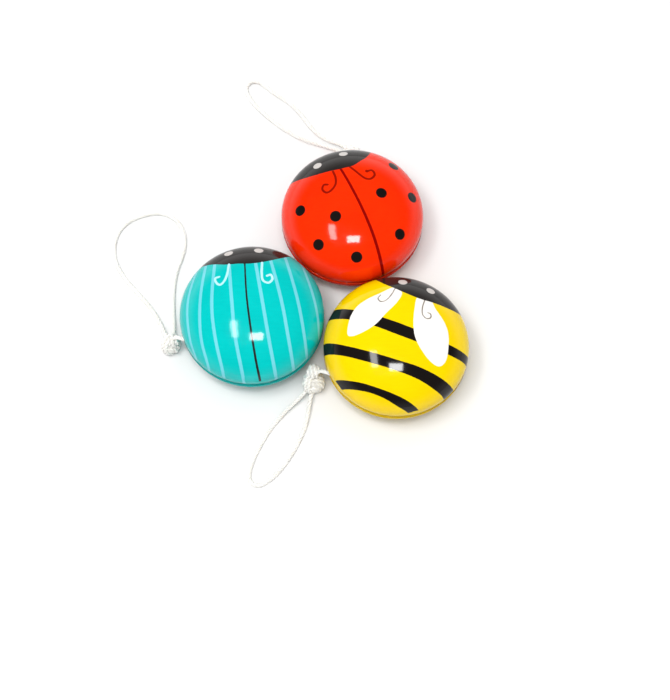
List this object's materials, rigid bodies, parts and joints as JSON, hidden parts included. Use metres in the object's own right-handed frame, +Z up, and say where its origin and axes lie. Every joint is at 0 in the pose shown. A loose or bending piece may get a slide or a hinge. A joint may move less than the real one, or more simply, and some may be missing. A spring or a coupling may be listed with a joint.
{
  "type": "yo-yo set",
  "caption": "Turned wooden yo-yos lacquered as a ladybird, a striped beetle and a bee, each with a dowel axle, a wound cotton cord, a knot and a finger loop.",
  "frame": {"origin": "on the table, under the middle of the box round the bodies, cords left out", "axes": "+Z up from the table, +Y away from the viewer"},
  "size_m": [0.1385, 0.1722, 0.031],
  "materials": {
    "red_lacquer": "gloss lacquer over turned wood",
    "turquoise_lacquer": "gloss lacquer over turned wood",
    "yellow_lacquer": "gloss lacquer over turned wood",
    "dowel_wood": "bare sanded wood",
    "cotton_cord": "soft twisted cotton"
  },
  "bodies": {
    "ladybird_string": {"ladybird_string_winding": "cotton_cord", "ladybird_string_lead": "cotton_cord", "ladybird_knot": "cotton_cord", "ladybird_finger_loop": "cotton_cord"},
    "ladybird_spool": {"ladybird_upper_half": "red_lacquer", "ladybird_lower_half": "red_lacquer", "ladybird_axle": "dowel_wood"},
    "beetle_string": {"beetle_string_winding": "cotton_cord", "beetle_string_lead": "cotton_cord", "beetle_knot": "cotton_cord", "beetle_finger_loop": "cotton_cord"},
    "beetle_spool": {"beetle_upper_half": "turquoise_lacquer", "beetle_lower_half": "turquoise_lacquer", "beetle_axle": "dowel_wood"},
    "bee_string": {"bee_string_winding": "cotton_cord", "bee_string_lead": "cotton_cord", "bee_knot": "cotton_cord", "bee_finger_loop": "cotton_cord"},
    "bee_spool": {"bee_upper_half": "yellow_lacquer", "bee_lower_half": "yellow_lacquer", "bee_axle": "dowel_wood"}
  },
  "joints": [
    {"name": "ladybird_spin", "type": "hinge", "parent": "ladybird_string", "child": "ladybird_spool", "pos_m": [0.01091, 0.02678, 0.0155], "axis": [0, 0, 1], "continuous": true},
    {"name": "beetle_spin", "type": "hinge", "parent": "beetle_string", "child": "beetle_spool", "pos_m": [-0.02728, -0.01418, 0.0155], "axis": [0, 0, 1], "continuous": true},
    {"name": "bee_spin", "type": "hinge", "parent": "bee_string", "child": "bee_spool", "pos_m": [0.02728, -0.02678, 0.0155], "axis": [0, 0, 1], "continuous": true},
    {"name": "beetle_lift", "type": "slide", "parent": "ladybird_string", "child": "beetle_string", "axis": [0, 0, 1], "range_m": [0, 0.06]},
    {"name": "bee_lift", "type": "slide", "parent": "ladybird_string", "child": "bee_string", "axis": [0, 0, 1], "range_m": [0, 0.06]}
  ]
}
